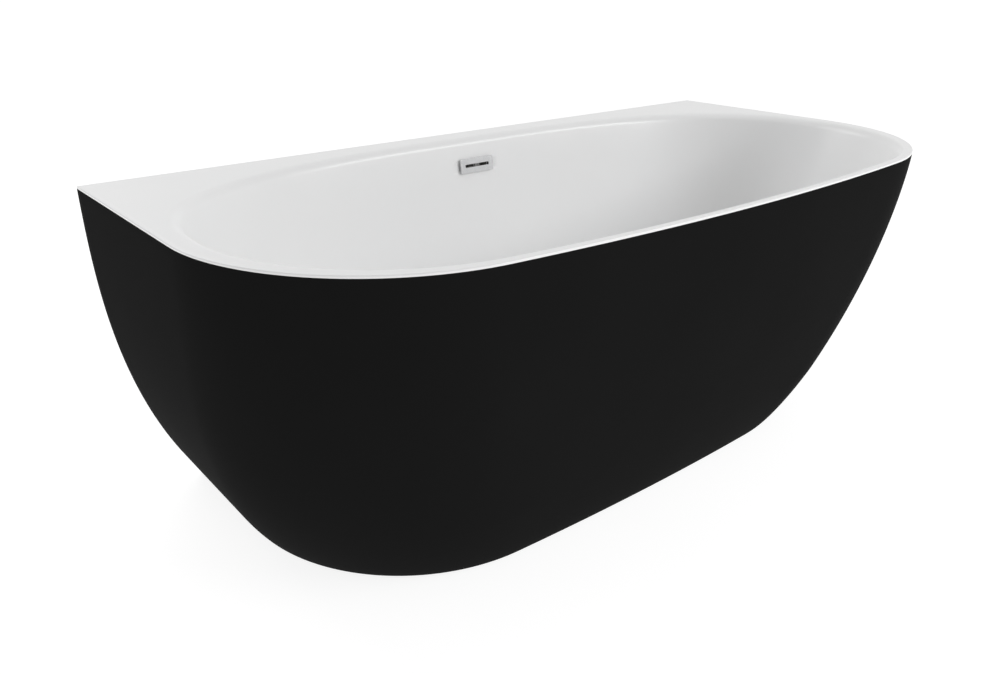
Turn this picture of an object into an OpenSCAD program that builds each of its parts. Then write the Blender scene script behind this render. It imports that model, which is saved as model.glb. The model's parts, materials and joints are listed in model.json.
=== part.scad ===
// Freestanding back-to-wall bathtub: white moulded shell, separate outer skirt, steel underframe
// on five levelling feet, overflow, push-open waste and low trap.
// Millimetres, +Z up, the floor at z = 0, the wall plane at y = +width / 2, front at y = -width / 2.

/* [Overall size] */
// Length of the tub along the wall
length = 1500; // [1400:10:1700]
// Depth of the tub from the wall to the front edge
width = 750; // [700:5:800]
// Height from the floor to the top of the rim
height = 580; // [560:5:620]

/* [Shell] */
// Thickness of the moulded shell, seen as the white lip above the skirt
shell_thickness = 4; // [3:0.5:6]
// Flat deck width at the two ends
end_deck = 23; // [15:1:60]
// Flat deck width at the middle of the front
front_deck = 7; // [6:1:20]
// Flat deck width along the wall
back_deck = 47; // [40:1:80]
// Slope of the two end walls from vertical
end_slope = 22; // [15:1:30]
// Height of the basin floor above the room floor
floor_top = 161; // [156:1:170]

/* [Skirt] */
// Half length of the skirt where it meets the floor
base_half_length = 620; // [580:1:660]
// Depth of the skirt from the wall plane where it meets the floor
base_depth = 582; // [560:1:640]
// Thickness of the skirt panel
skirt_thickness = 4; // [3:0.5:6]
// Gap between the skirt and the room floor
skirt_gap = 1; // [1:0.5:6]

/* [Feet] */
// How far each foot can be screwed down
foot_travel = 25; // [10:1:25]
// Diameter of the round foot pads
pad_diameter = 50; // [40:1:60]

/* [Waste and overflow] */
// Distance of the waste in front of the wall plane
waste_from_wall = 280; // [260:1:300]
// Width of the overflow cover
cover_width = 82; // [80:1:100]
// Height of the overflow cover
cover_height = 29; // [26:1:34]
// Height of the overflow cover centre above the floor
overflow_height = 525; // [510:1:535]

/* [Hidden] */
$fn = 64;

wall_y = width / 2;
half_length = length / 2;

// Skirt outline at the rim: straight side, corner radius; the same at the floor.
side_top = 402.3;
corner_top = 327.1;
side_base = 253.3;
corner_base = 347.4;
skirt_top = height - shell_thickness;
skirt_return = 30;
skirt_flange = 25;
flange_z = skirt_gap + skirt_thickness;

// Basin: edge rounding, wall slope and floor fillet for the ends, the front and the back.
end_round = 22;
front_round = 16;
back_round = 18;
front_slope = 11;
back_slope = 9;
end_fillet = 130;
front_fillet = 90;
back_fillet = 90;
floor_underside = 150;
basin_half_length = half_length - end_deck;
basin_front_y = -wall_y + front_deck;
basin_back_y = wall_y - back_deck;
basin_mid_top = -30;
basin_mid_floor = -15;
basin_corner_top = 312;
basin_corner_floor = 175;
basin_power_top = 2.55;
basin_power_floor = 2.3;
basin_flat = 60;

back_steps = 16;
corner_steps = 13;
front_steps = 5;
side_steps = 4;

// Under the shell
board_bottom = 134;
rail_size = 30;
rail_wall = 2;
rail_bottom = board_bottom - rail_size;
cross_x = 340;
cross_front_y = -175;
cross_back_y = 150;
long_front_y = -110;
long_back_y = 15;
feet = [[-cross_x, -140], [cross_x, -140], [-cross_x, 120], [cross_x, 120], [0, long_front_y]];
rod_radius = 6;
rod_top = rail_bottom + rail_size - rail_wall - 2;
nut_height = 10;
nut_across = 19;
nut_radius = nut_across / 2 / cos(30);
lock_top = rail_bottom - nut_height;
stay_y = 45;
stay_reach = 238;
pad_radius = pad_diameter / 2;
socket_floor = 8;

waste_y = wall_y - waste_from_wall;
waste_hole = 26;
seat_z = 156;
tee_z = 117;
pipe_y = 338;
pipe_bend = 40;
pipe_top = 484;
trap_axis_z = 46;
outlet_end_y = wall_y - 10;

overflow_y = basin_back_y - back_round * cos(back_slope)
    - (height - overflow_height - back_round * (1 - sin(back_slope))) * tan(back_slope);

// ---- outlines -------------------------------------------------------------------------------

function shape(t, p, q) = pow(1 - pow(1 - t, p), 1 / q);

// Corner arc and long front arc of one half, as [x, distance from the wall plane].
function front_half(a, b, s, r, first) =
    let (k = b - s)
    let (c = min(r, 0.98 * k))
    let (big = (pow(a - c, 2) + k * k - c * c) / (2 * (k - c)))
    let (phi = atan2(s - b + big, a - c))
    concat(
        [for (i = [first : corner_steps])
            [a - c + c * cos(phi * i / corner_steps), s + c * sin(phi * i / corner_steps)]],
        [for (i = [1 : front_steps])
            let (w = phi + (90 - phi) * i / front_steps) [big * cos(w), b - big + big * sin(w)]]);

// Mirror a half list (right side, ending on the centre line) to the left side.
function with_left(half) = concat(half, [for (i = [len(half) - 2 : -1 : 0]) [-half[i][0], half[i][1]]]);

// Skirt outline at height z, moved inwards by inset, from the right wall end to the left one.
function skirt_ring(z, inset, tip) =
    let (t = z / height)
    let (a = base_half_length + (half_length - base_half_length) * shape(t, 2.645, 1.062))
    let (b = base_depth + (width - base_depth) * shape(t, 1.231, 1.379))
    let (g = shape(t, 1.421, 1))
    let (s = side_base + (side_top - side_base) * g)
    let (r = corner_base + (corner_top - corner_base) * g)
    let (half = concat(
        [[a - skirt_return, inset]],
        [for (i = [0 : side_steps - 1]) [a - inset, inset + (s - inset) * i / side_steps]],
        front_half(a - inset, b - inset, s, min(r, 0.98 * (b - s)) - inset, 0)))
    [for (p = with_left(half)) [p[0], wall_y - p[1], tip]];

// Deck outline at the rim, moved inwards by inset.
function deck_ring(inset, z) =
    let (a = half_length - inset)
    let (c = 3 - min(inset, 2))
    let (half = concat(
        [for (i = [0 : 9]) [basin_flat + (a - c - basin_flat) * i / 9, inset]],
        [[a - c * (1 - cos(45)), inset + c * (1 - sin(45))]],
        [[a, inset + c]],
        [for (i = [1 : 5]) [a, inset + c + (side_top - inset - c) * i / 5]],
        front_half(a, width - inset, side_top, corner_top - inset, 1)))
    ring_points(half, z);

function ring_points(half, z) =
    concat(
        [for (p = half) [p[0], wall_y - p[1], z]],
        [for (i = [len(half) - 2 : -1 : 0]) [-half[i][0], wall_y - half[i][1], z]]);

// Distance a basin wall has moved inwards at depth h below the edge level.
function wall_inset(h, total, rho, slope, fillet) =
    let (hr = rho * (1 - sin(slope)))
    let (g2 = fillet * (1 - sin(slope)))
    let (g = total - h)
    let (end_inset = rho * cos(slope) + (total - g2 - hr) * tan(slope))
    h <= hr ? sqrt(max(0, 2 * rho * h - h * h))
        : g >= g2 ? rho * cos(slope) + (h - hr) * tan(slope)
        : end_inset + fillet * cos(slope) - sqrt(max(0, 2 * fillet * g - g * g));

// Basin outline at height z; skin = 0 for the wet surface, the shell thickness for the underside.
function basin_ring(z, skin) =
    let (under = skin > 0 ? 1 : 0)
    let (total = (under ? height - skin - floor_underside : height - floor_top))
    let (h = height - skin - z)
    let (w = h / total)
    let (extra = under ? 10 : 0)
    let (a = basin_half_length - wall_inset(h, total, end_round - skin, end_slope, end_fillet + extra))
    let (yf = basin_front_y + wall_inset(h, total, front_round - skin, front_slope, front_fillet + extra))
    let (yb = basin_back_y - wall_inset(h, total, back_round - skin, back_slope, back_fillet + extra))
    let (ym = basin_mid_top + (basin_mid_floor - basin_mid_top) * w)
    let (r = basin_corner_top + (basin_corner_floor - basin_corner_top) * w)
    let (e = 2 / (basin_power_top + (basin_power_floor - basin_power_top) * w))
    let (half = concat(
        [for (i = [0 : back_steps])
            [basin_flat + (a - basin_flat) * pow(sin(90 * i / back_steps), e),
                wall_y - ym - (yb - ym) * pow(cos(90 * i / back_steps), e)]],
        front_half(a, wall_y - yf, wall_y - ym, r, 1)))
    ring_points(half, z);

// A circle round the waste with one point in the direction of each point of a guide ring.
function waste_ring(guide, r, z) =
    [for (p = guide)
        let (d = sqrt(pow(p[0], 2) + pow(p[1] - waste_y, 2)))
        [r * p[0] / d, waste_y + r * (p[1] - waste_y) / d, z]];

function between(ring_a, ring_b, f) =
    [for (i = [0 : len(ring_a) - 1]) ring_a[i] + (ring_b[i] - ring_a[i]) * f];

// ---- solids from grids of points ----------------------------------------------------------------

function flat(grid) = [for (row = grid) for (p = row) p];

// Closed both ways: rings joined one to the next and the last to the first.
module ring_solid(rings) {
    n = len(rings[0]);
    m = len(rings);
    polyhedron(points = flat(rings), convexity = 10, faces = [
        for (j = [0 : m - 1])
            for (i = [0 : n - 1])
                for (k = [0, 1])
                    let (a = j * n + i)
                    let (b = j * n + (i + 1) % n)
                    let (c = ((j + 1) % m) * n + (i + 1) % n)
                    let (d = ((j + 1) % m) * n + i)
                    k == 0 ? [a, b, c] : [a, c, d]]);
}

// A curved sheet: outer and inner grids of the same size joined round their four edges.
module sheet_solid(outer, inner) {
    n = len(outer[0]);
    m = len(outer);
    q = n * m;
    grid_faces = [
        for (j = [0 : m - 2])
            for (i = [0 : n - 2])
                for (f = [[0, 1, n + 1], [0, n + 1, n]])
                    [for (v = f) j * n + i + v]];
    polyhedron(points = concat(flat(outer), flat(inner)), convexity = 10, faces = concat(
        [for (f = grid_faces) [f[2], f[1], f[0]]],
        [for (f = grid_faces) [f[0] + q, f[1] + q, f[2] + q]],
        [for (i = [0 : n - 2]) for (k = [0, 1])
            k == 0 ? [i, i + 1, i + 1 + q] : [i, i + 1 + q, i + q]],
        [for (i = [0 : n - 2]) for (k = [0, 1]) let (a = (m - 1) * n + i)
            k == 0 ? [a + 1, a, a + q] : [a + 1, a + q, a + 1 + q]],
        [for (j = [0 : m - 2]) for (k = [0, 1]) let (a = j * n)
            k == 0 ? [a + n, a, a + q] : [a + n, a + q, a + n + q]],
        [for (j = [0 : m - 2]) for (k = [0, 1]) let (a = j * n + n - 1)
            k == 0 ? [a, a + n, a + n + q] : [a, a + n + q, a + q]]));
}

// ---- small shapes -----------------------------------------------------------------------------

module tube(outer, inner, low, high) {
    translate([0, 0, low])
        difference() {
            cylinder(r = outer, h = high - low);
            translate([0, 0, -1])
                cylinder(r = inner, h = high - low + 2);
        }
}

module rounded(w, h, r) {
    square([w - 2 * r, h], center = true);
    square([w, h - 2 * r], center = true);
    for (x = [-1, 1])
        for (y = [-1, 1])
            translate([x * (w / 2 - r), y * (h / 2 - r)])
                circle(r = r);
}

// A plate standing against the overflow wall, from depth low to depth high behind the wet face.
module wall_plate(w, h, r, low, high) {
    translate([0, high, 0])
        rotate([90, 0, 0])
            linear_extrude(height = high - low)
                rounded(w, h, r);
}

module at_overflow() {
    translate([0, overflow_y, overflow_height])
        rotate([-back_slope, 0, 0])
            children();
}

module at_waste() {
    translate([0, waste_y, 0])
        children();
}

// Along +Y from the given height on the waste axis.
module along_y(y, z) {
    translate([0, y, z])
        rotate([-90, 0, 0])
            children();
}

module hex_nut(z, h, bore) {
    translate([0, 0, z])
        difference() {
            cylinder(r = nut_radius, h = h, $fn = 6);
            translate([0, 0, -1])
                cylinder(r = bore, h = h + 2);
        }
}

// ---- shell and skirt ----------------------------------------------------------------------------

module bath_shell() {
    rim_h = [0, 0.4, 1.6, 3.6, 6.5, 10.5, 15.2];
    wall_z = [540, 490, 430, 370, 310, 262];
    fillet_g = [80, 66, 53, 41, 30, 20.5, 13, 7.2, 3.2, 0.8, 0];
    rim_under = [0, 0.3, 1.3, 2.9, 5.2, 8.4, 12.2];
    under_g = [86, 72, 58, 45, 33, 23, 14.5, 8, 3.5, 0.9, 0];
    floor_edge = basin_ring(floor_top, 0);
    drain_edge = waste_ring(floor_edge, 18, seat_z + 1);
    under_edge = basin_ring(floor_underside, shell_thickness);
    rings = concat(
        [waste_ring(floor_edge, 18, floor_underside)],
        [drain_edge],
        [between(drain_edge, floor_edge, 0.5)],
        [for (i = [len(fillet_g) - 1 : -1 : 0]) basin_ring(floor_top + fillet_g[i], 0)],
        [for (i = [len(wall_z) - 1 : -1 : 0]) basin_ring(wall_z[i], 0)],
        [for (i = [len(rim_h) - 1 : -1 : 0]) basin_ring(height - rim_h[i], 0)],
        [deck_ring(2, height)],
        [deck_ring(1, height - 0.27)],
        [deck_ring(0.27, height - 1)],
        [deck_ring(0, height - 2)],
        [deck_ring(0, skirt_top)],
        [for (h = rim_under) basin_ring(skirt_top - h, shell_thickness)],
        [for (z = wall_z) basin_ring(z - 3, shell_thickness)],
        [for (g = under_g) basin_ring(floor_underside + g, shell_thickness)]);
    color([0.95, 0.95, 0.94])
        difference() {
            ring_solid(rings);
            at_waste() {
                translate([0, 0, floor_underside - 5])
                    cylinder(r = waste_hole, h = 20);
                translate([0, 0, seat_z])
                    cylinder(r1 = 36.5, r2 = 42.5, h = 6);
            }
            at_overflow()
                wall_plate(62, 14, 6.9, -20, 20);
        }
}

module outer_skirt() {
    levels = [6, 11, 18, 28, 42, 60, 84, 114, 150, 192, 238, 288, 342, 398, 452, 500, 545];
    t = skirt_thickness;
    outer = concat(
        [skirt_ring(skirt_gap, skirt_flange, skirt_gap)],
        [skirt_ring(skirt_gap, 0, skirt_gap)],
        [for (z = levels) skirt_ring(z + 2, 0, z + 2)],
        [skirt_ring(skirt_top, 0, skirt_top)]);
    inner = concat(
        [skirt_ring(skirt_gap, skirt_flange, flange_z)],
        [skirt_ring(flange_z, t, flange_z)],
        [for (z = levels) skirt_ring(z + 3.2, t, z + 3.2)],
        [skirt_ring(skirt_top, t, skirt_top)]);
    color([0.09, 0.09, 0.09])
        sheet_solid(outer, inner);
}

// ---- frame ----------------------------------------------------------------------------------------

module rear_batten(side) {
    color([0.72, 0.58, 0.4])
        translate([side > 0 ? 60 : -700, wall_y - 24, skirt_top - 30])
            cube([640, 20, 30]);
}

module rear_batten_left() {
    rear_batten(-1);
}

module rear_batten_right() {
    rear_batten(1);
}

board_points = [[-cross_x, -95], [cross_x, -95], [-cross_x, 75], [cross_x, 75],
    [-180, long_front_y], [180, long_front_y], [-180, long_back_y], [180, long_back_y]];

module base_board() {
    color([0.76, 0.62, 0.42])
        translate([0, 0, board_bottom])
            difference() {
                translate([0, -8, 0])
                    linear_extrude(height = floor_underside - board_bottom)
                        rounded(840, 315, 60);
                at_waste() {
                    translate([0, 0, -1])
                        cylinder(r = 48, h = 20);
                    translate([-48, 0, -1])
                        cube([96, 80, 20]);
                }
                for (p = board_points)
                    translate([p[0], p[1], -1])
                        cylinder(r = 1.9, h = 13);
            }
}

// Square tube lying along X, closed by plastic caps or butt-welded at its ends.
module square_tube(size_x, size_y) {
    translate([0, 0, rail_bottom])
        difference() {
            translate([-size_x / 2, -size_y / 2, 0])
                cube([size_x, size_y, rail_size]);
            if (size_x > size_y)
                translate([-size_x / 2 - 1, -size_y / 2 + rail_wall, rail_wall])
                    cube([size_x + 2, size_y - 2 * rail_wall, rail_size - 2 * rail_wall]);
            else
                translate([-size_x / 2 + rail_wall, -size_y / 2 - 1, rail_wall])
                    cube([size_x - 2 * rail_wall, size_y + 2, rail_size - 2 * rail_wall]);
        }
}

module rail_holes() {
    for (p = feet)
        translate([p[0], p[1], rail_bottom - 1])
            cylinder(r = 6.6, h = 5);
    for (p = board_points)
        translate([p[0], p[1], rail_bottom - 1])
            cylinder(r = 2.4, h = rail_size + 2);
    for (x = [-200, 200])
        for (z = [112, 126])
            translate([x, long_front_y - 10, z])
                rotate([90, 0, 0])
                    cylinder(r = 2.4, h = 10);
    for (x = [-1, 1])
        for (z = [112, 126])
            translate([x * (cross_x + 8), stay_y, z])
                rotate([0, x * 90, 0])
                    cylinder(r = 2.4, h = 10);
}

module cross_rail(x) {
    color([0.62, 0.64, 0.66])
        difference() {
            translate([x, (cross_front_y + cross_back_y) / 2, 0])
                square_tube(rail_size, cross_back_y - cross_front_y);
            rail_holes();
        }
}

module long_rail(y) {
    color([0.62, 0.64, 0.66])
        difference() {
            translate([0, y, 0])
                square_tube(2 * cross_x - rail_size, rail_size);
            rail_holes();
        }
}

module cross_rail_left() {
    cross_rail(-cross_x);
}

module cross_rail_right() {
    cross_rail(cross_x);
}

module long_rail_front() {
    long_rail(long_front_y);
}

module long_rail_back() {
    long_rail(long_back_y);
}

module rail_caps() {
    color([0.12, 0.12, 0.12])
        for (x = [-cross_x, cross_x])
            for (side = [-1, 1])
                translate([x, side < 0 ? cross_front_y : cross_back_y, rail_bottom + rail_size / 2])
                    rotate([-90 * side, 0, 0]) {
                        translate([-15, -15, 0])
                            cube([30, 30, 3]);
                        translate([-12.8, -12.8, -12])
                            cube([25.6, 25.6, 12]);
                    }
}

module board_screws() {
    color([0.75, 0.75, 0.72])
        for (p = board_points)
            translate([p[0], p[1], rail_bottom - 3]) {
                cylinder(r = 4.5, h = 3);
                cylinder(r = 1.9, h = 42);
            }
}

module rail_nuts() {
    color([0.7, 0.7, 0.68])
        for (p = feet)
            translate([p[0], p[1], 0])
                hex_nut(lock_top, nut_height, 6.4);
}

// ---- levelling feet ----------------------------------------------------------------------------

module foot_pad(n) {
    color([0.13, 0.13, 0.13])
        translate([feet[n][0], feet[n][1], 0])
            rotate_extrude()
                polygon([[0, 0], [pad_radius - 1, 0], [pad_radius, 1], [pad_radius, 4],
                    [pad_radius - 2, 6], [13, 8], [11, 10], [11, 18], [6.5, 18],
                    [6.5, socket_floor], [0, socket_floor]]);
}

module foot_rod(n) {
    color([0.78, 0.78, 0.76])
        translate([feet[n][0], feet[n][1], 0])
            rotate_extrude()
                polygon([[0, socket_floor], [4.8, socket_floor], [rod_radius, socket_floor + 1.2],
                    [rod_radius, rod_top - 1.2], [4.8, rod_top], [0, rod_top]]);
}

module lock_nut(n) {
    color([0.72, 0.72, 0.7])
        translate([feet[n][0], feet[n][1], 0])
            hex_nut(lock_top - nut_height, nut_height, rod_radius);
}

module foot_pad_1() {
    foot_pad(0);
}

module foot_pad_2() {
    foot_pad(1);
}

module foot_pad_3() {
    foot_pad(2);
}

module foot_pad_4() {
    foot_pad(3);
}

module foot_pad_5() {
    foot_pad(4);
}

module foot_rod_1() {
    foot_rod(0);
}

module foot_rod_2() {
    foot_rod(1);
}

module foot_rod_3() {
    foot_rod(2);
}

module foot_rod_4() {
    foot_rod(3);
}

module foot_rod_5() {
    foot_rod(4);
}

module lock_nut_1() {
    lock_nut(0);
}

module lock_nut_2() {
    lock_nut(1);
}

module lock_nut_3() {
    lock_nut(2);
}

module lock_nut_4() {
    lock_nut(3);
}

module lock_nut_5() {
    lock_nut(4);
}

// ---- skirt fixings ---------------------------------------------------------------------------

// Steel angle from the front rail down to the bottom flange of the skirt.
module front_bracket(x) {
    reach = 78;
    color([0.66, 0.68, 0.7])
        difference() {
            union() {
                translate([x - 15, long_front_y - 18, flange_z])
                    cube([30, 3, 127]);
                translate([x - 15, long_front_y - 15 - reach, flange_z])
                    cube([30, reach - 3 + 0.5, 3]);
            }
            for (z = [112, 126])
                translate([x, long_front_y - 10, z])
                    rotate([90, 0, 0])
                        cylinder(r = 2.6, h = 12);
        }
}

module skirt_bracket_front_left() {
    front_bracket(-200);
}

module skirt_bracket_front_right() {
    front_bracket(200);
}

// Steel stay from a cross rail out to the end of the skirt.
module end_stay(side) {
    near = cross_x + rail_size / 2;
    color([0.66, 0.68, 0.7])
        difference() {
            union() {
                translate([side > 0 ? near : -near - 3, stay_y - 15, flange_z])
                    cube([3, 30, 127]);
                translate([side > 0 ? near : -near - stay_reach, stay_y - 15, flange_z])
                    cube([stay_reach, 30, 3]);
            }
            for (z = [112, 126])
                translate([side * (cross_x + 8), stay_y, z])
                    rotate([0, side * 90, 0])
                        cylinder(r = 2.6, h = 12);
        }
}

module skirt_stay_left() {
    end_stay(-1);
}

module skirt_stay_right() {
    end_stay(1);
}

module bracket_screw() {
    cylinder(r = 5, h = 3.2);
    translate([0, 0, -9])
        cylinder(r = 2.3, h = 10);
}

module bracket_screws() {
    color([0.75, 0.75, 0.72])
        for (z = [112, 126]) {
            for (x = [-200, 200])
                translate([x, long_front_y - 18, z])
                    rotate([90, 0, 0])
                        bracket_screw();
            for (side = [-1, 1])
                translate([side * (cross_x + rail_size / 2 + 3), stay_y, z])
                    rotate([0, side * 90, 0])
                        bracket_screw();
        }
}

// ---- overflow ---------------------------------------------------------------------------------

module overflow_cover() {
    color([0.82, 0.83, 0.85])
        at_overflow()
            difference() {
                wall_plate(cover_width, cover_height, 1.2, -6.4, -1);
                wall_plate(cover_width - 3, cover_height - 3, 0.8, -5.3, 0);
                wall_plate(60, 6, 1, -9, -5);
            }
}

module overflow_bezel() {
    color([0.3, 0.3, 0.31])
        at_overflow()
            difference() {
                wall_plate(cover_width - 6, cover_height - 6, 2, -3.2, -1);
                for (x = [-20, 20])
                    translate([x, 0, 0])
                        wall_plate(24, 11, 2, -6, 0);
                translate([0, 1, 0])
                    rotate([90, 0, 0])
                        cylinder(r = 3.1, h = 10);
            }
}

module overflow_gasket() {
    color([0.2, 0.2, 0.2])
        at_overflow()
            difference() {
                wall_plate(cover_width - 2, cover_height - 2, 2, -1, 0);
                wall_plate(62, 14, 5, -3, 1);
            }
}

module overflow_screw() {
    color([0.8, 0.8, 0.82])
        at_overflow()
            rotate([90, 0, 0]) {
                translate([0, 0, 3.2])
                    difference() {
                        cylinder(r = 5, h = 2);
                        translate([0, 0, 0.8])
                            cylinder(r = 2.4, h = 3, $fn = 6);
                    }
                translate([0, 0, -24])
                    cylinder(r = 3, h = 27.2);
            }
}

module overflow_seal() {
    color([0.16, 0.16, 0.16])
        at_overflow()
            difference() {
                wall_plate(86, 32, 4, shell_thickness, shell_thickness + 3);
                wall_plate(64, 16, 6, 0, 12);
            }
}

module overflow_body() {
    low = shell_thickness + 3;
    color([0.86, 0.86, 0.84])
        difference() {
            union() {
                at_overflow() {
                    wall_plate(88, 34, 4, low, low + 4);
                    wall_plate(72, 26, 6, low + 3, 46);
                }
                translate([0, pipe_y, pipe_top + 2])
                    cylinder(r = 14, h = 26);
            }
            difference() {
                at_overflow()
                    wall_plate(66, 20, 4, 0, 43);
                at_overflow()
                    translate([0, 43, 0])
                        rotate([90, 0, 0])
                            cylinder(r = 6, h = 24);
            }
            at_overflow()
                translate([0, 27, 0])
                    rotate([90, 0, 0])
                        cylinder(r = 3, h = 20);
            translate([0, pipe_y, pipe_top - 5])
                cylinder(r = 11.5, h = 32);
        }
}

pipe_in = 11.5;
pipe_out = 13;
pipe_ridge = 14.6;
pipe_pitch = 8;

// A straight run of ridged pipe from z = 0 to z = run.
module ridged(run) {
    count = floor(run / pipe_pitch);
    pitch = run / count;
    rotate_extrude()
        polygon(concat(
            [[pipe_in, 0], [pipe_out, 0]],
            [for (i = [0 : count - 1]) for (p = [[0.2, 0], [0.35, 1], [0.65, 1], [0.8, 0]])
                [pipe_out + p[1] * (pipe_ridge - pipe_out), (i + p[0]) * pitch]],
            [[pipe_out, run], [pipe_in, run]]));
}

pipe_start_y = waste_y + 63;

module overflow_pipe() {
    color([0.9, 0.9, 0.88]) {
        along_y(pipe_start_y, tee_z)
            ridged(pipe_y - pipe_bend - pipe_start_y);
        translate([0, pipe_y - pipe_bend, tee_z + pipe_bend])
            rotate([0, 90, 0])
                rotate_extrude(angle = 90)
                    translate([pipe_bend, 0])
                        difference() {
                            circle(r = pipe_out);
                            circle(r = pipe_in);
                        }
        translate([0, pipe_y, tee_z + pipe_bend])
            ridged(pipe_top - tee_z - pipe_bend);
    }
}

module pipe_nut() {
    difference() {
        union() {
            cylinder(r = 20, h = 22);
            for (i = [0 : 11])
                rotate([0, 0, i * 30])
                    translate([19, -1.5, 1])
                        cube([2.2, 3, 20]);
        }
        translate([0, 0, -1])
            cylinder(r = 15.2, h = 24);
    }
}

module pipe_nut_top() {
    color([0.92, 0.92, 0.9])
        translate([0, pipe_y, pipe_top - 14])
            pipe_nut();
}

module pipe_nut_bottom() {
    color([0.92, 0.92, 0.9])
        along_y(pipe_start_y - 8, tee_z)
            pipe_nut();
}

// ---- waste and plug ----------------------------------------------------------------------------

flange_z_low = seat_z + 1.2;
flange_z_top = flange_z_low + 2.5;

module flange_seal() {
    color([0.16, 0.16, 0.16])
        at_waste()
            tube(33, waste_hole, seat_z, flange_z_low);
}

module waste_flange() {
    color([0.82, 0.83, 0.85])
        at_waste() {
            rotate_extrude()
                polygon([[20.5, 130], [23.8, 130], [23.8, flange_z_low], [33, flange_z_low],
                    [34, flange_z_low + 1], [33, flange_z_top], [26.5, flange_z_top],
                    [20.5, flange_z_top - 2]]);
            difference() {
                union() {
                    translate([0, 0, 130])
                        cylinder(r = 9, h = 5);
                    for (i = [0 : 2])
                        rotate([0, 0, 120 * i + 30])
                            translate([0, -1.5, 130])
                                cube([21.5, 3, 5]);
                }
                translate([0, 0, 129])
                    cylinder(r = 4.5, h = 7);
            }
        }
}

module plug_cartridge() {
    color([0.88, 0.88, 0.9])
        at_waste()
            difference() {
                translate([0, 0, 135])
                    cylinder(r = 9, h = 14);
                translate([0, 0, 134])
                    cylinder(r = 4.5, h = 16);
            }
}

module plug_stem() {
    color([0.8, 0.81, 0.83])
        at_waste()
            translate([0, 0, 122])
                cylinder(r = 4, h = flange_z_top + 2 - 122);
}

module plug_cap() {
    z = flange_z_top + 2;
    color([0.82, 0.83, 0.85])
        at_waste()
            rotate_extrude()
                polygon([[0, z], [21.5, z], [21.5, z + 1], [26, z + 1], [26, z], [30, z],
                    [31, z + 0.8], [30.5, z + 2.2], [27, z + 3.3], [20, z + 4.2], [10, z + 4.8],
                    [0, z + 5]]);
}

module plug_seal() {
    color([0.12, 0.12, 0.12])
        at_waste()
            tube(26, 21.5, flange_z_top - 0, flange_z_top + 3);
}

module body_seal() {
    color([0.16, 0.16, 0.16])
        at_waste()
            tube(38, 26.5, floor_underside - 2.5, floor_underside);
}

module waste_body() {
    top = floor_underside - 2.5;
    color([0.9, 0.9, 0.88])
        at_waste()
            difference() {
                union() {
                    translate([0, 0, top - 6])
                        cylinder(r = 39, h = 6);
                    translate([0, 0, 97])
                        cylinder(r = 29, h = top - 97);
                    translate([0, 0, 70])
                        cylinder(r = 20, h = 30);
                    along_y(0, tee_z)
                        cylinder(r = 14.2, h = 61);
                }
                translate([0, 0, 101])
                    cylinder(r = 24.3, h = 60);
                translate([0, 0, 60])
                    cylinder(r = 17, h = 60);
                along_y(0, tee_z)
                    cylinder(r = 11.5, h = 70);
            }
}

// ---- trap ---------------------------------------------------------------------------------------

module trap_nut() {
    color([0.85, 0.85, 0.84])
        at_waste()
            difference() {
                union() {
                    translate([0, 0, 74])
                        cylinder(r = 31, h = 19);
                    for (i = [0 : 11])
                        rotate([0, 0, i * 30])
                            translate([30, -2, 75])
                                cube([2.4, 4, 17]);
                }
                translate([0, 0, 73])
                    cylinder(r = 26.4, h = 17);
                translate([0, 0, 70])
                    cylinder(r = 20.4, h = 30);
            }
}

module trap_washer() {
    color([0.16, 0.16, 0.16])
        at_waste()
            rotate_extrude()
                polygon([[20, 86], [25.9, 86], [25.9, 90], [20, 90]]);
}

module trap_body() {
    color([0.88, 0.88, 0.86])
        at_waste()
            difference() {
                union() {
                    rotate_extrude()
                        polygon([[0, 9], [44, 9], [46, 11], [46, 68], [26, 68], [26, 86],
                            [20.6, 86], [20.6, 64], [17.5, 64], [17.5, 24], [20, 24], [20, 62],
                            [43, 62], [43, 12], [0, 12]]);
                    along_y(43, trap_axis_z)
                        tube(20, 17, 1, 33);
                    along_y(43, trap_axis_z)
                        tube(25, 19, 12, 16);
                }
                along_y(38, trap_axis_z)
                    cylinder(r = 17, h = 12);
            }
}

module outlet_washer() {
    color([0.16, 0.16, 0.16])
        along_y(waste_y + 76, trap_axis_z)
            tube(24, 18, 0, 3);
}

module outlet_nut() {
    color([0.85, 0.85, 0.84])
        along_y(waste_y + 60, trap_axis_z)
            difference() {
                union() {
                    cylinder(r = 29, h = 24);
                    for (i = [0 : 11])
                        rotate([0, 0, i * 30])
                            translate([28, -2, 1])
                                cube([2.4, 4, 22]);
                }
                translate([0, 0, -1])
                    cylinder(r = 25, h = 20);
                cylinder(r = 21, h = 30);
            }
}

module outlet_pipe() {
    color([0.86, 0.86, 0.85])
        along_y(waste_y + 79, trap_axis_z)
            rotate_extrude()
                polygon([[18, 0], [20.6, 0], [20.6, 9], [20, 9.6],
                    [20, outlet_end_y - waste_y - 79], [18, outlet_end_y - waste_y - 79]]);
}

// ---- assembly --------------------------------------------------------------------------------

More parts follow.
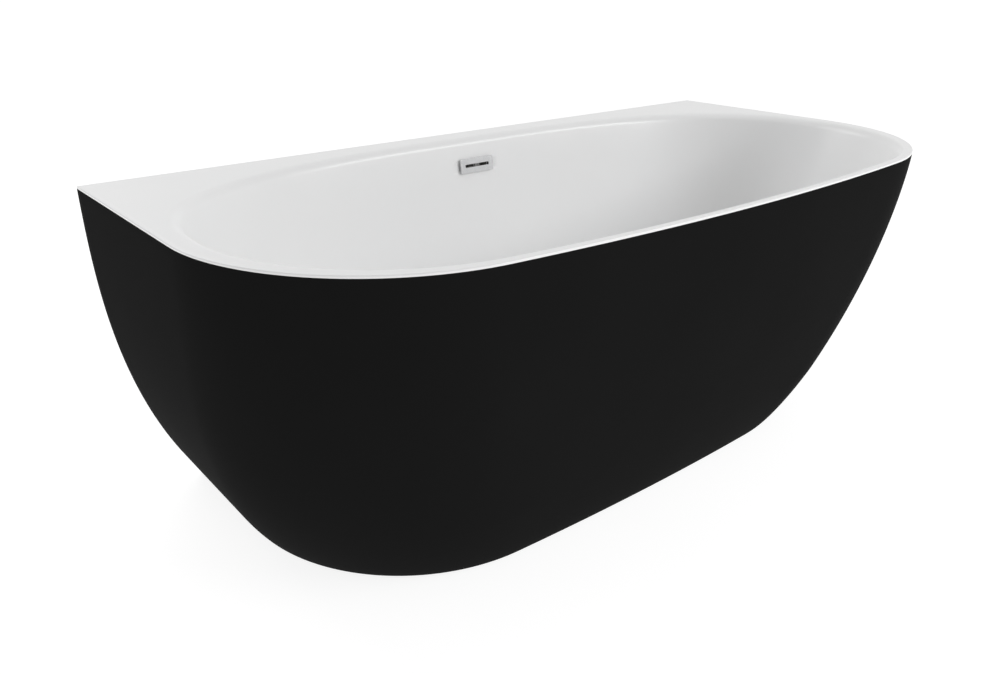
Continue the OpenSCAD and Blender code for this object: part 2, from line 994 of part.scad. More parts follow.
bath_shell();
outer_skirt();
rear_batten_left();
rear_batten_right();
base_board();
cross_rail_left();
cross_rail_right();
long_rail_front();
long_rail_back();
rail_caps();
board_screws();
rail_nuts();
foot_pad_1();
foot_pad_2();
foot_pad_3();
foot_pad_4();
foot_pad_5();
foot_rod_1();
foot_rod_2();
foot_rod_3();
foot_rod_4();
foot_rod_5();
lock_nut_1();
lock_nut_2();
lock_nut_3();
lock_nut_4();
lock_nut_5();
skirt_bracket_front_left();
skirt_bracket_front_right();
skirt_stay_left();
skirt_stay_right();
bracket_screws();
overflow_cover();
overflow_bezel();
overflow_gasket();
overflow_screw();
overflow_seal();
overflow_body();
overflow_pipe();
pipe_nut_top();
pipe_nut_bottom();
waste_flange();
flange_seal();
waste_body();
body_seal();
plug_cap();
plug_seal();
plug_stem();
plug_cartridge();
trap_nut();
trap_washer();
trap_body();
outlet_washer();
outlet_nut();
outlet_pipe();
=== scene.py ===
import json
import math

import bmesh
import bpy
from mathutils import Matrix, Vector


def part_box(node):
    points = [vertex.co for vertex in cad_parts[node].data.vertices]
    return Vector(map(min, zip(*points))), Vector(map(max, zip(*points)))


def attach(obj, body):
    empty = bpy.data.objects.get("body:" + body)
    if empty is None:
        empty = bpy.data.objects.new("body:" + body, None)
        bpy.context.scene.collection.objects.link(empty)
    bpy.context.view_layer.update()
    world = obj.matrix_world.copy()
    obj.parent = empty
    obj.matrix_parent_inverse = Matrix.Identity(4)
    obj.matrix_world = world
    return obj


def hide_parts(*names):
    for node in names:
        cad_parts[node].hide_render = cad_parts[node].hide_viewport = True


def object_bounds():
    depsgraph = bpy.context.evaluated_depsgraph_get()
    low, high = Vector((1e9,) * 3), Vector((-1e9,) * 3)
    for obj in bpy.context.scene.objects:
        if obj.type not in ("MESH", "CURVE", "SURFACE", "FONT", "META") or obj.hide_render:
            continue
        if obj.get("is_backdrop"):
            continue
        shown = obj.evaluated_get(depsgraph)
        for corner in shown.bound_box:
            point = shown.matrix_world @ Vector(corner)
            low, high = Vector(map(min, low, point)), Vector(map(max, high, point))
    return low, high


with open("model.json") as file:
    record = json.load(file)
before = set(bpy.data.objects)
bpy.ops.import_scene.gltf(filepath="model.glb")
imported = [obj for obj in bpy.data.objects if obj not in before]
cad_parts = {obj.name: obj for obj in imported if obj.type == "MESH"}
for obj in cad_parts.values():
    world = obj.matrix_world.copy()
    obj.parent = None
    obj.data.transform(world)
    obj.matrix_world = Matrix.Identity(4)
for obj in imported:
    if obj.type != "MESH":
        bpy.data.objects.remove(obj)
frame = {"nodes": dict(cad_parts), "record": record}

cad_low, cad_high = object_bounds()
MM = 0.001

# ---- the tub's own dimensions, in millimetres, the same as the CAD's -----------------------------

LENGTH = (cad_high.x - cad_low.x) / MM
WIDTH = (cad_high.y - cad_low.y) / MM
HEIGHT = (cad_high.z - cad_low.z) / MM
WALL_Y = WIDTH / 2
HALF = LENGTH / 2
SKIN = 4.0
END_DECK, FRONT_DECK, BACK_DECK = 23.0, 7.0, 47.0
END_ROUND, FRONT_ROUND, BACK_ROUND = 22.0, 16.0, 18.0
END_SLOPE, FRONT_SLOPE, BACK_SLOPE = 22.0, 11.0, 9.0
END_FILLET, FRONT_FILLET, BACK_FILLET = 130.0, 90.0, 90.0
FLOOR_TOP, FLOOR_UNDER, SEAT_Z = 161.0, 150.0, 156.0
BASE_HALF, BASE_DEPTH = 620.0, 582.0
SIDE_TOP, CORNER_TOP, SIDE_BASE, CORNER_BASE = 402.3, 327.1, 253.3, 347.4
# Exponents of the skirt's widening from base to rim, for shape().
END_CURVE = (2.645, 1.062)
FRONT_CURVE = (1.231, 1.379)
CORNER_CURVE = (1.421, 1)
SKIRT_GAP, SKIRT_T, SKIRT_TOP = 1.0, 4.0, HEIGHT - SKIN
SKIRT_RETURN, SKIRT_FLANGE = 30.0, 25.0
# A corner arc takes at most this share of the way from the side's end to the front.
CORNER_SHARE = 0.98
BASIN_FLAT = 60.0
# Where the basin's back and front curves meet, its front corner radius and the power of its back curve.
BASIN_MID_TOP, BASIN_MID_FLOOR = -30, -15
BASIN_CORNER_TOP, BASIN_CORNER_FLOOR = 312, 175
BASIN_POWER_TOP, BASIN_POWER_FLOOR = 2.55, 2.3
BACKING_FILLET = 10
WASTE_Y, WASTE_HOLE = 95.0, 26.0
OVERFLOW_Z = 525.0
# Radius of the deck's two back corners and of the rounding along its edge.
DECK_CORNER, LIP_ROUND = 3, 2

# ---- details of the visual meshes, in millimetres ------------------------------------------------

# The overflow slot, 13.8 high where the CAD's is 14: from its middle to the centre of a round end, the
# radius of that end, and the reach of the cutter each way.
SLOT_HALF, SLOT_RADIUS, SLOT_REACH = 24.1, 6.9, 20
# The floor falls from its edge to a circle of this radius round the waste.
SEAT_BLEND = 38
# The edge of the deck: inset of its last flat ring, depth of a ring on the upright face, the chamfer
# below that and the inset of the first ring underneath.
DECK_END, LIP_FACE, LIP_CHAMFER, LIP_UNDER = 3.5, 3, 0.3, 4.5
# Points in the right half of a shell ring: back curve, corner arc and front arc.
N_BACK, N_CORNER, N_FRONT = 44, 44, 16


def sin(a):
    return math.sin(math.radians(a))


def cos(a):
    return math.cos(math.radians(a))


def tan(a):
    return math.tan(math.radians(a))


def shape(t, p, q):
    """A curve from 0 at t = 0 to 1 at t = 1, steep at first."""
    return (1 - (1 - t) ** p) ** (1 / q)


def front_half(a, b, s, r, n_corner, n_front, first=1):
    """Corner arc and long front arc of the right half, as (x, distance from the wall plane)."""
    k = b - s
    c = min(r, CORNER_SHARE * k)
    big = ((a - c) ** 2 + k * k - c * c) / (2 * (k - c))
    phi = math.degrees(math.atan2(s - b + big, a - c))
    pts = [(a - c + c * cos(phi * i / n_corner), s + c * sin(phi * i / n_corner))
           for i in range(first, n_corner + 1)]
    for i in range(1, n_front + 1):
        w = phi + (90 - phi) * i / n_front
        pts.append((big * cos(w), b - big + big * sin(w)))
    return pts


def ring(half, z):
    """A full ring from its right half, which runs from the back to the front centre."""
    left = [(-x, d) for x, d in reversed(half[:-1])]
    return [Vector((x, WALL_Y - d, z)) for x, d in half + left]


def wall_inset(h, total, rho, slope, fillet):
    """How far the basin wall has come in at depth h: rim rounding, straight slope, then floor fillet."""
    hr = rho * (1 - sin(slope))
    g2 = fillet * (1 - sin(slope))
    g = total - h
    end_inset = rho * cos(slope) + (total - g2 - hr) * tan(slope)
    if h <= hr:
        return math.sqrt(max(0.0, 2 * rho * h - h * h))
    if g >= g2:
        return rho * cos(slope) + (h - hr) * tan(slope)
    return end_inset + fillet * cos(slope) - math.sqrt(max(0.0, 2 * fillet * g - g * g))


def basin_ring(z, skin=0.0, grow=0.0):
    """The basin's outline at height z, moved out by grow; with a skin, that of its underside."""
    under = skin > 0
    total = HEIGHT - skin - FLOOR_UNDER if under else HEIGHT - FLOOR_TOP
    h = HEIGHT - skin - z
    w = h / total
    extra = BACKING_FILLET if under else 0
    end = wall_inset(h, total, END_ROUND - skin, END_SLOPE, END_FILLET + extra)
    front = wall_inset(h, total, FRONT_ROUND - skin, FRONT_SLOPE, FRONT_FILLET + extra)
    rear = wall_inset(h, total, BACK_ROUND - skin, BACK_SLOPE, BACK_FILLET + extra)
    a = HALF - END_DECK + grow - end
    yf = -WALL_Y + FRONT_DECK - grow + front
    yb = WALL_Y - BACK_DECK + grow - rear
    ym = BASIN_MID_TOP + (BASIN_MID_FLOOR - BASIN_MID_TOP) * w
    r = BASIN_CORNER_TOP + (BASIN_CORNER_FLOOR - BASIN_CORNER_TOP) * w
    e = 2 / (BASIN_POWER_TOP + (BASIN_POWER_FLOOR - BASIN_POWER_TOP) * w)
    half = [(BASIN_FLAT + (a - BASIN_FLAT) * sin(90 * i / N_BACK) ** e,
             WALL_Y - ym - (yb - ym) * max(0.0, cos(90 * i / N_BACK)) ** e) for i in range(N_BACK + 1)]
    half += front_half(a, WALL_Y - yf, WALL_Y - ym, r, N_CORNER, N_FRONT)
    return ring(half, z)


def deck_ring(inset, z):
    """The deck's outline at height z, drawn in by the inset, with its back corners slightly rounded."""
    a = HALF - inset
    c = DECK_CORNER - min(inset, LIP_ROUND)
    n_edge, n_arc = 24, 4
    n_side = N_BACK - n_edge - n_arc
    half = [(BASIN_FLAT + (a - c - BASIN_FLAT) * i / n_edge, inset) for i in range(n_edge + 1)]
    half += [(a - c + c * sin(90 * i / n_arc), inset + c - c * cos(90 * i / n_arc))
             for i in range(1, n_arc + 1)]
    half += [(a, inset + c + (SIDE_TOP - inset - c) * i / n_side) for i in range(1, n_side + 1)]
    half += front_half(a, WIDTH - inset, SIDE_TOP, CORNER_TOP - inset, N_CORNER, N_FRONT)
    return ring(half, z)


def waste_ring(guide, r, z):
    """A circle round the waste, with one point for each point of the guide ring."""
    out = []
    for p in guide:
        d = math.hypot(p.x, p.y - WASTE_Y)
        out.append(Vector((r * p.x / d, WASTE_Y + r * (p.y - WASTE_Y) / d, z)))
    return out


def between(a, b, f):
    """The ring a fraction f of the way from ring a to ring b."""
    return [p.lerp(q, f) for p, q in zip(a, b)]


def new_object(name, verts, faces):
    """A smooth mesh object from points in millimetres."""
    mesh = bpy.data.meshes.new(name)
    mesh.from_pydata([v * MM for v in verts], [], faces)
    mesh.validate()
    obj = bpy.data.objects.new(name, mesh)
    bpy.context.scene.collection.objects.link(obj)
    bm = bmesh.new()
    bm.from_mesh(mesh)
    bmesh.ops.recalc_face_normals(bm, faces=bm.faces)
    bm.to_mesh(mesh)
    bm.free()
    mesh.polygons.foreach_set("use_smooth", [True] * len(mesh.polygons))
    return obj


def ring_solid(name, rings):
    """A closed solid through full rings, the last joined to the first."""
    n, m = len(rings[0]), len(rings)
    verts = [p for r in rings for p in r]
    faces = [(j * n + i, j * n + (i + 1) % n, ((j + 1) % m) * n + (i + 1) % n, ((j + 1) % m) * n + i)
             for j in range(m) for i in range(n)]
    return new_object(name, verts, faces)


def sheet_solid(name, outer, inner):
    """A closed solid between two open sheets of the same size."""
    n, m = len(outer[0]), len(outer)
    q = n * m
    verts = [p for r in outer for p in r] + [p for r in inner for p in r]
    faces = []
    for j in range(m - 1):
        for i in range(n - 1):
            a = j * n + i
            faces.append((a, a + n, a + n + 1, a + 1))
            faces.append((a + q, a + 1 + q, a + n + 1 + q, a + n + q))
    for i in range(n - 1):
        faces.append((i, i + 1, i + 1 + q, i + q))
        a = (m - 1) * n + i
        faces.append((a + 1, a, a + q, a + 1 + q))
    for j in range(m - 1):
        a = j * n
        faces.append((a + n, a, a + q, a + n + q))
        a = j * n + n - 1
        faces.append((a, a + n, a + n + q, a + q))
    return new_object(name, verts, faces)


# ---- materials -----------------------------------------------------------------------------------


def material(name):
    mat = bpy.data.materials.new(name)
    mat.use_nodes = True
    nodes, links = mat.node_tree.nodes, mat.node_tree.links
    nodes.clear()
    out = nodes.new("ShaderNodeOutputMaterial")
    bsdf = nodes.new("ShaderNodeBsdfPrincipled")
    links.new(bsdf.outputs[0], out.inputs[0])
    return mat, nodes, links, bsdf


def coords(nodes, links, scale=(1, 1, 1)):
    tex = nodes.new("ShaderNodeTexCoord")
    mapping = nodes.new("ShaderNodeMapping")
    mapping.inputs["Scale"].default_value = scale
    links.new(tex.outputs["Object"], mapping.inputs["Vector"])
    return mapping.outputs["Vector"]


def noise(nodes, links, vector, scale, detail=4.0, rough=0.5):
    n = nodes.new("ShaderNodeTexNoise")
    n.inputs["Scale"].default_value = scale
    n.inputs["Detail"].default_value = detail
    n.inputs["Roughness"].default_value = rough
    links.new(vector, n.inputs["Vector"])
    return n.outputs["Fac"]


def ramp(nodes, links, fac, stops):
    r = nodes.new("ShaderNodeValToRGB")
    els = r.color_ramp.elements
    while len(els) > 1:
        els.remove(els[-1])
    for k, (pos, col) in enumerate(stops):
        el = els[0] if k == 0 else els.new(pos)
        el.position = pos
        el.color = (*col, 1) if len(col) == 3 else col
    links.new(fac, r.inputs["Fac"])
    return r.outputs["Color"]


def span(nodes, links, fac, low, high):
    m = nodes.new("ShaderNodeMapRange")
    m.inputs["To Min"].default_value = low
    m.inputs["To Max"].default_value = high
    links.new(fac, m.inputs["Value"])
    return m.outputs["Result"]


def mix_colour(nodes, links, fac, a, b):
    m = nodes.new("ShaderNodeMix")
    m.data_type = "RGBA"
    links.new(fac, m.inputs[0])
    links.new(a, m.inputs[6])
    links.new(b, m.inputs[7])
    return m.outputs[2]


def bump(nodes, links, bsdf, height, strength, distance):
    b = nodes.new("ShaderNodeBump")
    b.inputs["Strength"].default_value = strength
    b.inputs["Distance"].default_value = distance
    links.new(height, b.inputs["Height"])
    links.new(b.outputs["Normal"], bsdf.inputs["Normal"])


def grey(v):
    return (v, v, v)


def acrylic_white():
    mat, nodes, links, bsdf = material("acrylic_white")
    vec = coords(nodes, links)
    broad = noise(nodes, links, vec, 3.0, 2.0)
    gloss = ramp(nodes, links, broad, [(0.3, (0.872, 0.874, 0.876)), (0.7, (0.884, 0.884, 0.882))])
    fine = noise(nodes, links, vec, 60.0, 3.0)
    # The underside is sprayed glass fibre: 1 in the mesh's "backing" attribute.
    backing = nodes.new("ShaderNodeAttribute")
    backing.attribute_name = "backing"
    strands = noise(nodes, links, coords(nodes, links, (1, 1, 3)), 130.0, 6.0, 0.75)
    fibre = ramp(nodes, links, strands, [(0.35, (0.50, 0.48, 0.40)), (0.65, (0.66, 0.64, 0.56))])
    links.new(mix_colour(nodes, links, backing.outputs["Fac"], gloss, fibre), bsdf.inputs["Base Color"])
    rough = nodes.new("ShaderNodeMapRange")
    links.new(backing.outputs["Fac"], rough.inputs["Value"])
    links.new(span(nodes, links, fine, 0.26, 0.36), rough.inputs["To Min"])
    links.new(span(nodes, links, strands, 0.5, 0.8), rough.inputs["To Max"])
    links.new(rough.outputs["Result"], bsdf.inputs["Roughness"])
    bsdf.inputs["IOR"].default_value = 1.49
    bsdf.inputs["Coat Weight"].default_value = 0.12
    bsdf.inputs["Coat Roughness"].default_value = 0.12
    bump(nodes, links, bsdf, noise(nodes, links, vec, 9.0, 2.0), 0.04, 0.002)
    return mat


def acrylic_black():
    mat, nodes, links, bsdf = material("acrylic_black")
    vec = coords(nodes, links)
    broad = noise(nodes, links, vec, 5.0, 3.0)
    links.new(ramp(nodes, links, broad, [(0.3, grey(0.0092)), (0.7, grey(0.0100))]),
              bsdf.inputs["Base Color"])
    fine = noise(nodes, links, vec, 900.0, 3.0, 0.6)
    links.new(span(nodes, links, fine, 0.62, 0.78), bsdf.inputs["Roughness"])
    bsdf.inputs["IOR"].default_value = 1.45
    bsdf.inputs["Specular IOR Level"].default_value = 0.008
    bump(nodes, links, bsdf, fine, 0.12, 0.0003)
    return mat


def chrome():
    mat, nodes, links, bsdf = material("chrome")
    vec = coords(nodes, links)
    fine = noise(nodes, links, vec, 140.0, 3.0)
    links.new(ramp(nodes, links, fine, [(0.3, (0.72, 0.725, 0.735)), (0.7, (0.77, 0.775, 0.78))]),
              bsdf.inputs["Base Color"])
    links.new(span(nodes, links, fine, 0.07, 0.14), bsdf.inputs["Roughness"])
    bsdf.inputs["Metallic"].default_value = 1.0
    return mat


def steel(name, low, high, rough, scale):
    mat, nodes, links, bsdf = material(name)
    vec = coords(nodes, links)
    vor = nodes.new("ShaderNodeTexVoronoi")
    vor.inputs["Scale"].default_value = scale
    links.new(vec, vor.inputs["Vector"])
    links.new(ramp(nodes, links, vor.outputs["Distance"], [(0.0, low), (0.8, high)]),
              bsdf.inputs["Base Color"])
    links.new(span(nodes, links, noise(nodes, links, vec, scale * 2.0), rough - 0.1, rough + 0.1),
              bsdf.inputs["Roughness"])
    bsdf.inputs["Metallic"].default_value = 1.0
    bump(nodes, links, bsdf, noise(nodes, links, vec, 300.0), 0.08, 0.0004)
    return mat


def plastic(name, low, high, rough):
    mat, nodes, links, bsdf = material(name)
    vec = coords(nodes, links)
    fine = noise(nodes, links, vec, 500.0, 2.0)
    broad = noise(nodes, links, vec, 14.0, 3.0)
    links.new(ramp(nodes, links, broad, [(0.3, low), (0.7, high)]), bsdf.inputs["Base Color"])
    links.new(span(nodes, links, fine, rough - 0.06, rough + 0.08), bsdf.inputs["Roughness"])
    bump(nodes, links, bsdf, fine, 0.1, 0.0003)
    return mat


def timber():
    mat, nodes, links, bsdf = material("timber")
    vec = coords(nodes, links, (1.2, 14, 40))
    grain = noise(nodes, links, vec, 6.0, 8.0, 0.65)
    links.new(ramp(nodes, links, grain, [(0.25, (0.30, 0.19, 0.10)), (0.55, (0.50, 0.35, 0.20)),
                                         (0.8, (0.60, 0.45, 0.28))]), bsdf.inputs["Base Color"])
    links.new(span(nodes, links, grain, 0.6, 0.8), bsdf.inputs["Roughness"])
    bump(nodes, links, bsdf, grain, 0.25, 0.0006)
    return mat


MATS = {
    "acrylic_white": acrylic_white(),
    "acrylic_black": acrylic_black(),
    "chrome": chrome(),
    "galvanised": steel("galvanised", (0.42, 0.44, 0.46), (0.62, 0.63, 0.64), 0.42, 90.0),
    "zinc": steel("zinc", (0.60, 0.60, 0.56), (0.72, 0.72, 0.69), 0.28, 240.0),
    "black_plastic": plastic("black_plastic", grey(0.014), grey(0.024), 0.5),
    "white_plastic": plastic("white_plastic", (0.66, 0.66, 0.63), (0.72, 0.72, 0.70), 0.42),
    "grey_plastic": plastic("grey_plastic", grey(0.18), grey(0.22), 0.5),
    "rubber": plastic("rubber", grey(0.012), grey(0.02), 0.8),
    "timber": timber(),
}

slot_of = {s["node"]: s["material_slot"] for s in frame["record"]["subparts"]}
for node, obj in frame["nodes"].items():
    obj.data.materials.clear()
    obj.data.materials.append(MATS[slot_of[node]])


def dress(obj, name, body):
    obj.data.materials.clear()
    obj.data.materials.append(MATS[name])
    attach(obj, body)


# ---- white shell ---------------------------------------------------------------------------------


def crowded(reach, n):
    """n + 1 heights from 0 to reach, closest together at 0."""
    return [reach * (1 - cos(90 * i / n)) for i in range(n + 1)]


def make_shell():
    """The shell in rings: waste recess, floor, basin wall, deck and lip, then back along the underside."""
    floor_edge = basin_ring(FLOOR_TOP)
    seat = waste_ring(floor_edge, SEAT_BLEND, SEAT_Z + 1)
    # The recess round the waste hole, as (radius, height), with its edges eased.
    recess = [(WASTE_HOLE, FLOOR_UNDER), (WASTE_HOLE, SEAT_Z - 0.6), (WASTE_HOLE + 0.6, SEAT_Z),
              (36.2, SEAT_Z), (36.8, SEAT_Z + 0.3), (37.6, SEAT_Z + 0.9), (39.0, SEAT_Z + 1.02)]
    rings = [waste_ring(floor_edge, radius, z) for radius, z in recess]
    rings += [between(seat, floor_edge, f) for f in (0.08, 0.2, 0.35, 0.5, 0.65, 0.8, 0.92)]
    # Rings up the wall, crowded together where it meets the floor and the rim.
    fillet_reach, rounding_reach, under_rounding_reach, under_fillet_reach = 90, 15.2, 12.2, 88
    wall_heights, under_heights, under_seat = range(260, 560, 12), range(540, 250, -20), 60
    rings += [basin_ring(FLOOR_TOP + g) for g in crowded(fillet_reach, 22)]
    rings += [basin_ring(z) for z in wall_heights]
    rings += [basin_ring(HEIGHT - h) for h in reversed(crowded(rounding_reach, 12))]
    rings += [basin_ring(HEIGHT, grow=1.5)]
    rings += [deck_ring(DECK_END, HEIGHT)]
    n_lip = 5
    rings += [deck_ring(LIP_ROUND - LIP_ROUND * sin(90 * i / n_lip),
                        HEIGHT - LIP_ROUND + LIP_ROUND * cos(90 * i / n_lip)) for i in range(n_lip + 1)]
    rings += [deck_ring(0, HEIGHT - LIP_FACE)]
    rings += [deck_ring(0, SKIRT_TOP + LIP_CHAMFER), deck_ring(LIP_CHAMFER, SKIRT_TOP)]
    rings += [deck_ring(LIP_UNDER, SKIRT_TOP)]
    wet = len(rings)
    rings += [basin_ring(SKIRT_TOP - h, SKIN) for h in crowded(under_rounding_reach, 6)]
    rings += [basin_ring(z, SKIN) for z in under_heights]
    rings += [basin_ring(FLOOR_UNDER + g, SKIN) for g in reversed(crowded(under_fillet_reach, 12))]
    rings += [waste_ring(floor_edge, under_seat, FLOOR_UNDER)]
    obj = ring_solid("shell", rings)
    # Marks the points of the sprayed underside, which acrylic_white shows as glass fibre.
    mark = obj.data.attributes.new("backing", "FLOAT", "POINT")
    n = len(rings[0])
    backed = [1.0 if j >= wet else 0.0 for j in range(len(rings)) for _ in range(n)]
    mark.data.foreach_set("value", backed)
    return obj


def overflow_depth(z):
    """Where the basin's back wall is, measured along Y, at height z on the middle line."""
    h = HEIGHT - z
    return WALL_Y - BACK_DECK - wall_inset(h, HEIGHT - FLOOR_TOP, BACK_ROUND, BACK_SLOPE, BACK_FILLET)


def slot_cutter():
    """A slot-shaped bar through the back wall, at right angles to it."""
    mesh = bpy.data.meshes.new("slot_cutter")
    bm = bmesh.new()
    n = 32
    rim = []
    for k in range(n):
        t = 2 * math.pi * k / n
        cx = SLOT_HALF if math.cos(t) >= 0 else -SLOT_HALF
        rim.append(Vector((cx + SLOT_RADIUS * math.cos(t), -SLOT_REACH, SLOT_RADIUS * math.sin(t))))
    front = [bm.verts.new(p * MM) for p in rim]
    back = [bm.verts.new((p + Vector((0, 2 * SLOT_REACH, 0))) * MM) for p in rim]
    bm.faces.new(front)
    bm.faces.new(list(reversed(back)))
    for k in range(n):
        j = (k + 1) % n
        bm.faces.new((front[j], front[k], back[k], back[j]))
    bmesh.ops.recalc_face_normals(bm, faces=bm.faces)
    bm.transform(Matrix.Translation(Vector((0, overflow_depth(OVERFLOW_Z), OVERFLOW_Z)) * MM)
                 @ Matrix.Rotation(math.radians(-BACK_SLOPE), 4, "X"))
    bm.to_mesh(mesh)
    bm.free()
    cutter = bpy.data.objects.new("slot_cutter", mesh)
    bpy.context.scene.collection.objects.link(cutter)
    return cutter


def cut_slot(obj):
    """Cuts the overflow slot through the object's back wall, for good."""
    cutter = slot_cutter()
    cut = obj.modifiers.new("slot", "BOOLEAN")
    cut.operation = "DIFFERENCE"
    cut.solver = "EXACT"
    cut.object = cutter
    bpy.context.view_layer.update()
    deps = bpy.context.evaluated_depsgraph_get()
    cut_mesh = bpy.data.meshes.new_from_object(obj.evaluated_get(deps))
    obj.modifiers.clear()
    obj.data = cut_mesh
    bpy.data.objects.remove(cutter)


shell = make_shell()
cut_slot(shell)
dress(shell, "acrylic_white", "tub")
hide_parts("bath_shell")

# ---- black skirt ---------------------------------------------------------------------------------


def skirt_ring(z, inset, tip):
    """The skirt's outline for height z, drawn in by the inset and placed at height tip."""
    n_side, n_corner, n_front = 22, 56, 24
    # Points close to the corner at the wall keep it crisp: a share of the side, and millimetres along
    # the return.
    side_start, return_edge = 0.004, 1.0
    t = z / HEIGHT
    a = BASE_HALF + (HALF - BASE_HALF) * shape(t, *END_CURVE)
    b = BASE_DEPTH + (WIDTH - BASE_DEPTH) * shape(t, *FRONT_CURVE)
    g = shape(t, *CORNER_CURVE)
    s = SIDE_BASE + (SIDE_TOP - SIDE_BASE) * g
    r = CORNER_BASE + (CORNER_TOP - CORNER_BASE) * g
    half = [(a - SKIRT_RETURN, inset), (a - inset - return_edge, inset)]
    half += [(a - inset, inset + (s - inset) * (side_start if i == 0 else i / n_side))
             for i in range(n_side)]
    corner = min(r, CORNER_SHARE * (b - s)) - inset
    half += front_half(a - inset, b - inset, s, corner, n_corner, n_front, 0)
    return ring(half, tip)


def make_skirt():
    """The skirt as an outer and an inner sheet, each from the bottom flange up to the rim."""
    z0 = SKIRT_GAP
    # Heights from near the bottom edge to near the top, closest together at the bottom.
    n_levels, bottom_edge, both_edges, crowding = 64, 0.6, 1.4, 1.5
    levels = [z0 + bottom_edge + (SKIRT_TOP - z0 - both_edges) * (i / n_levels) ** crowding
              for i in range(n_levels + 1)]
    outer = [skirt_ring(z0, SKIRT_FLANGE, z0), skirt_ring(z0, bottom_edge, z0)]
    outer += [skirt_ring(z, 0, z) for z in levels]
    outer += [skirt_ring(SKIRT_TOP - 0.15, 0.1, SKIRT_TOP)]
    flange = z0 + SKIRT_T
    # The inner sheet starts just above the flange, where its rings are kept apart.
    above_flange, least_step = 0.5, 0.01
    inner = [skirt_ring(z0, SKIRT_FLANGE, flange), skirt_ring(flange, SKIRT_T + 0.8, flange)]
    inner += [skirt_ring(max(z, flange + above_flange), SKIRT_T,
                         max(z, flange + above_flange + i * least_step))
              for i, z in enumerate(levels)]
    inner += [skirt_ring(SKIRT_TOP, SKIRT_T - 0.2, SKIRT_TOP)]
    return sheet_solid("skirt", outer, inner)


skirt = make_skirt()
dress(skirt, "acrylic_black", "tub")
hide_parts("outer_skirt")

# ---- threaded rods of the levelling feet ---------------------------------------------------------

PITCH, MAJOR, DEPTH = 1.75, 6.0, 0.95
# How fast the flanks rise out of the groove, and the length and depth of the chamfer at both ends.
THREAD_SLOPE = 2.6
LEAD_IN, LEAD_CUT = 1.5, 1.0


def make_rod(name, low, high, x, y):
    """A right-hand thread cut in a round bar, from height low to height high."""
    per_turn, around = 6, 24
    n = int((high - low) / PITCH * per_turn)
    verts = []
    for j in range(n + 1):
        z = low + (high - low) * j / n
        lead = min(1.0, (z - low) / LEAD_IN, (high - z) / LEAD_IN)
        for i in range(around):
            t = i / around
            f = (z / PITCH - t) % 1.0
            cut = DEPTH * (1 - min(1.0, THREAD_SLOPE * min(f, 1 - f)))
            r = MAJOR - cut - (1 - lead) * LEAD_CUT
            verts.append(Vector((x + r * cos(360 * t), y + r * sin(360 * t), z)))
    faces = [(j * around + i, j * around + (i + 1) % around, (j + 1) * around + (i + 1) % around,
              (j + 1) * around + i) for j in range(n) for i in range(around)]
    faces.append(tuple(range(around))[::-1])
    faces.append(tuple(n * around + i for i in range(around)))
    return new_object(name, verts, faces)


for n in range(1, 6):
    low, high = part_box("foot_rod_%d" % n)
    rod = make_rod("threaded_rod_%d" % n, low.z / MM, high.z / MM, (low.x + high.x) / 2 / MM,
                   (low.y + high.y) / 2 / MM)
    dress(rod, "zinc", "screw_%d" % n)
    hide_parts("foot_rod_%d" % n)

# ---- floor, light and camera ---------------------------------------------------------------------

# Half the floor's side, in metres.
FLOOR_HALF = 60


def studio_floor():
    """A wide pale floor with a glow of its own."""
    mesh = bpy.data.meshes.new("studio_floor")
    corners = [(-FLOOR_HALF, -FLOOR_HALF, 0), (FLOOR_HALF, -FLOOR_HALF, 0),
               (FLOOR_HALF, FLOOR_HALF, 0), (-FLOOR_HALF, FLOOR_HALF, 0)]
    mesh.from_pydata(corners, [], [(0, 1, 2, 3)])
    obj = bpy.data.objects.new("studio_floor", mesh)
    bpy.context.scene.collection.objects.link(obj)
    mat, nodes, links, bsdf = material("studio_floor")
    vec = coords(nodes, links)
    links.new(ramp(nodes, links, noise(nodes, links, vec, 2.0), [(0.3, grey(0.29)), (0.7, grey(0.31))]),
              bsdf.inputs["Base Color"])
    bsdf.inputs["Roughness"].default_value = 0.9
    bsdf.inputs["Specular IOR Level"].default_value = 0.1
    bsdf.inputs["Emission Color"].default_value = (1, 1, 1, 1)
    bsdf.inputs["Emission Strength"].default_value = 0.86
    mesh.materials.append(mat)
    return obj


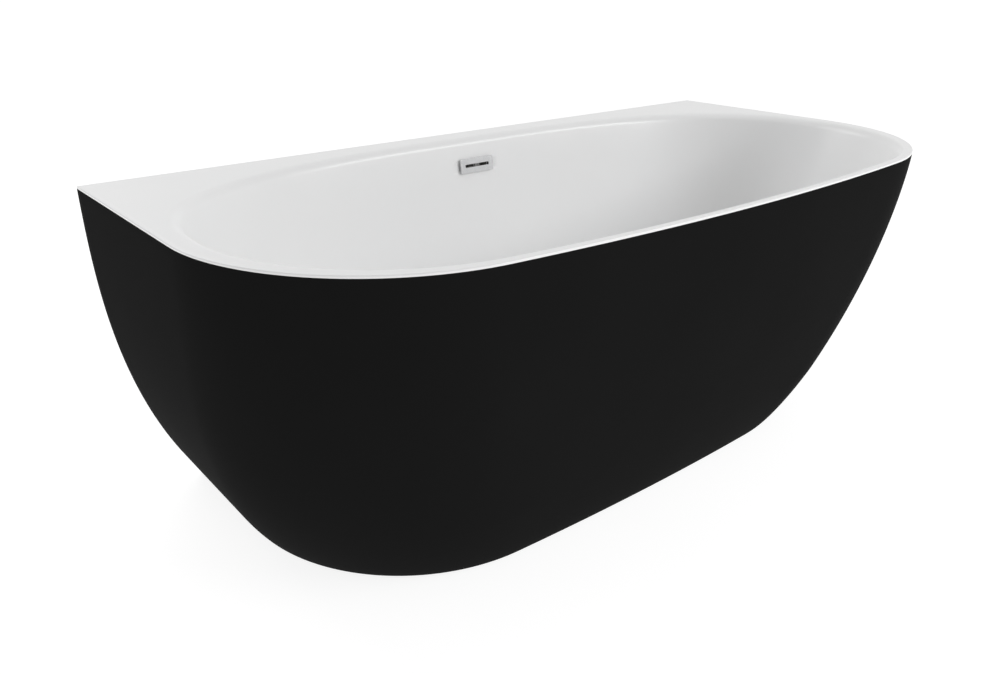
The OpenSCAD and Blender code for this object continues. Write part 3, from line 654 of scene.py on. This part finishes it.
def soft_dome():
    """A dome of light, darker on the side that the front left corner faces, brighter behind the tub
    and white along the horizon."""
    world = bpy.data.worlds.new("studio")
    bpy.context.scene.world = world
    world.use_nodes = True
    nodes, links = world.node_tree.nodes, world.node_tree.links
    background = nodes["Background"]
    background.inputs["Strength"].default_value = 1.0
    tex = nodes.new("ShaderNodeTexCoord")
    dot = nodes.new("ShaderNodeVectorMath")
    dot.operation = "DOT_PRODUCT"
    dot.inputs[1].default_value = (0.63, 0.78, 0)
    links.new(tex.outputs["Generated"], dot.inputs[0])
    shade = nodes.new("ShaderNodeMapRange")
    shade.inputs["From Min"].default_value = -1.0
    shade.inputs["From Max"].default_value = 1.0
    shade.inputs["To Min"].default_value = 0.36
    shade.inputs["To Max"].default_value = 0.80
    links.new(dot.outputs["Value"], shade.inputs["Value"])
    split = nodes.new("ShaderNodeSeparateXYZ")
    links.new(tex.outputs["Generated"], split.inputs[0])
    horizon = nodes.new("ShaderNodeMapRange")
    horizon.interpolation_type = "SMOOTHSTEP"
    horizon.inputs["From Min"].default_value = 0.0
    horizon.inputs["From Max"].default_value = 0.16
    horizon.inputs["To Min"].default_value = 1.0
    horizon.inputs["To Max"].default_value = 0.0
    links.new(split.outputs["Z"], horizon.inputs["Value"])
    mix = nodes.new("ShaderNodeMix")
    mix.data_type = "RGBA"
    links.new(horizon.outputs["Result"], mix.inputs[0])
    links.new(shade.outputs["Result"], mix.inputs[6])
    mix.inputs[7].default_value = (1, 1, 1, 1)
    links.new(mix.outputs[2], background.inputs["Color"])


floor = studio_floor()
floor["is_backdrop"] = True
soft_dome()
centre = (cad_low + cad_high) / 2


def area(name, place, size, power, aim):
    """A rectangular lamp that faces the aim."""
    data = bpy.data.lights.new(name, "AREA")
    data.shape = "RECTANGLE"
    data.size, data.size_y = size
    data.energy = power
    lamp = bpy.data.objects.new(name, data)
    lamp.location = place
    lamp.rotation_mode = "QUATERNION"
    lamp.rotation_quaternion = (Vector(aim) - Vector(place)).to_track_quat("-Z", "Y")
    bpy.context.scene.collection.objects.link(lamp)


area("key", (2.2, -3.4, 2.4), (2.4, 1.6), 68, centre)
area("fill", (-0.8, 3.0, 3.0), (2.6, 1.8), 38, centre)

# From the floor under the tub's centre to the camera, in metres, along the camera's own axes.
CAMERA_BACK, CAMERA_LEFT, CAMERA_UP = 1.7849, 0.1513, 0.2196
CAMERA_LENS, CAMERA_AZIMUTH, CAMERA_ELEVATION = 31.71, -39.10, 23.27
camera_data = bpy.data.cameras.new("camera")
camera = bpy.data.objects.new("camera", camera_data)
bpy.context.scene.collection.objects.link(camera)
bpy.context.scene.camera = camera
camera_data.sensor_width = 36
camera_data.lens = CAMERA_LENS
azimuth, elevation = math.radians(CAMERA_AZIMUTH), math.radians(CAMERA_ELEVATION)
back = Vector((math.sin(azimuth) * math.cos(elevation), -math.cos(azimuth) * math.cos(elevation),
               math.sin(elevation)))
right = Vector((math.cos(azimuth), math.sin(azimuth), 0))
up = back.cross(right)
base = Vector((centre.x, centre.y, cad_low.z))
camera.location = base + back * CAMERA_BACK - right * CAMERA_LEFT + up * CAMERA_UP
camera.rotation_mode = "QUATERNION"
camera.rotation_quaternion = Matrix((right, up, back)).transposed().to_quaternion()
camera_data.clip_start, camera_data.clip_end = 0.05, 60
bpy.context.scene.view_settings.view_transform = "Standard"

bpy.context.view_layer.update()
low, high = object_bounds()
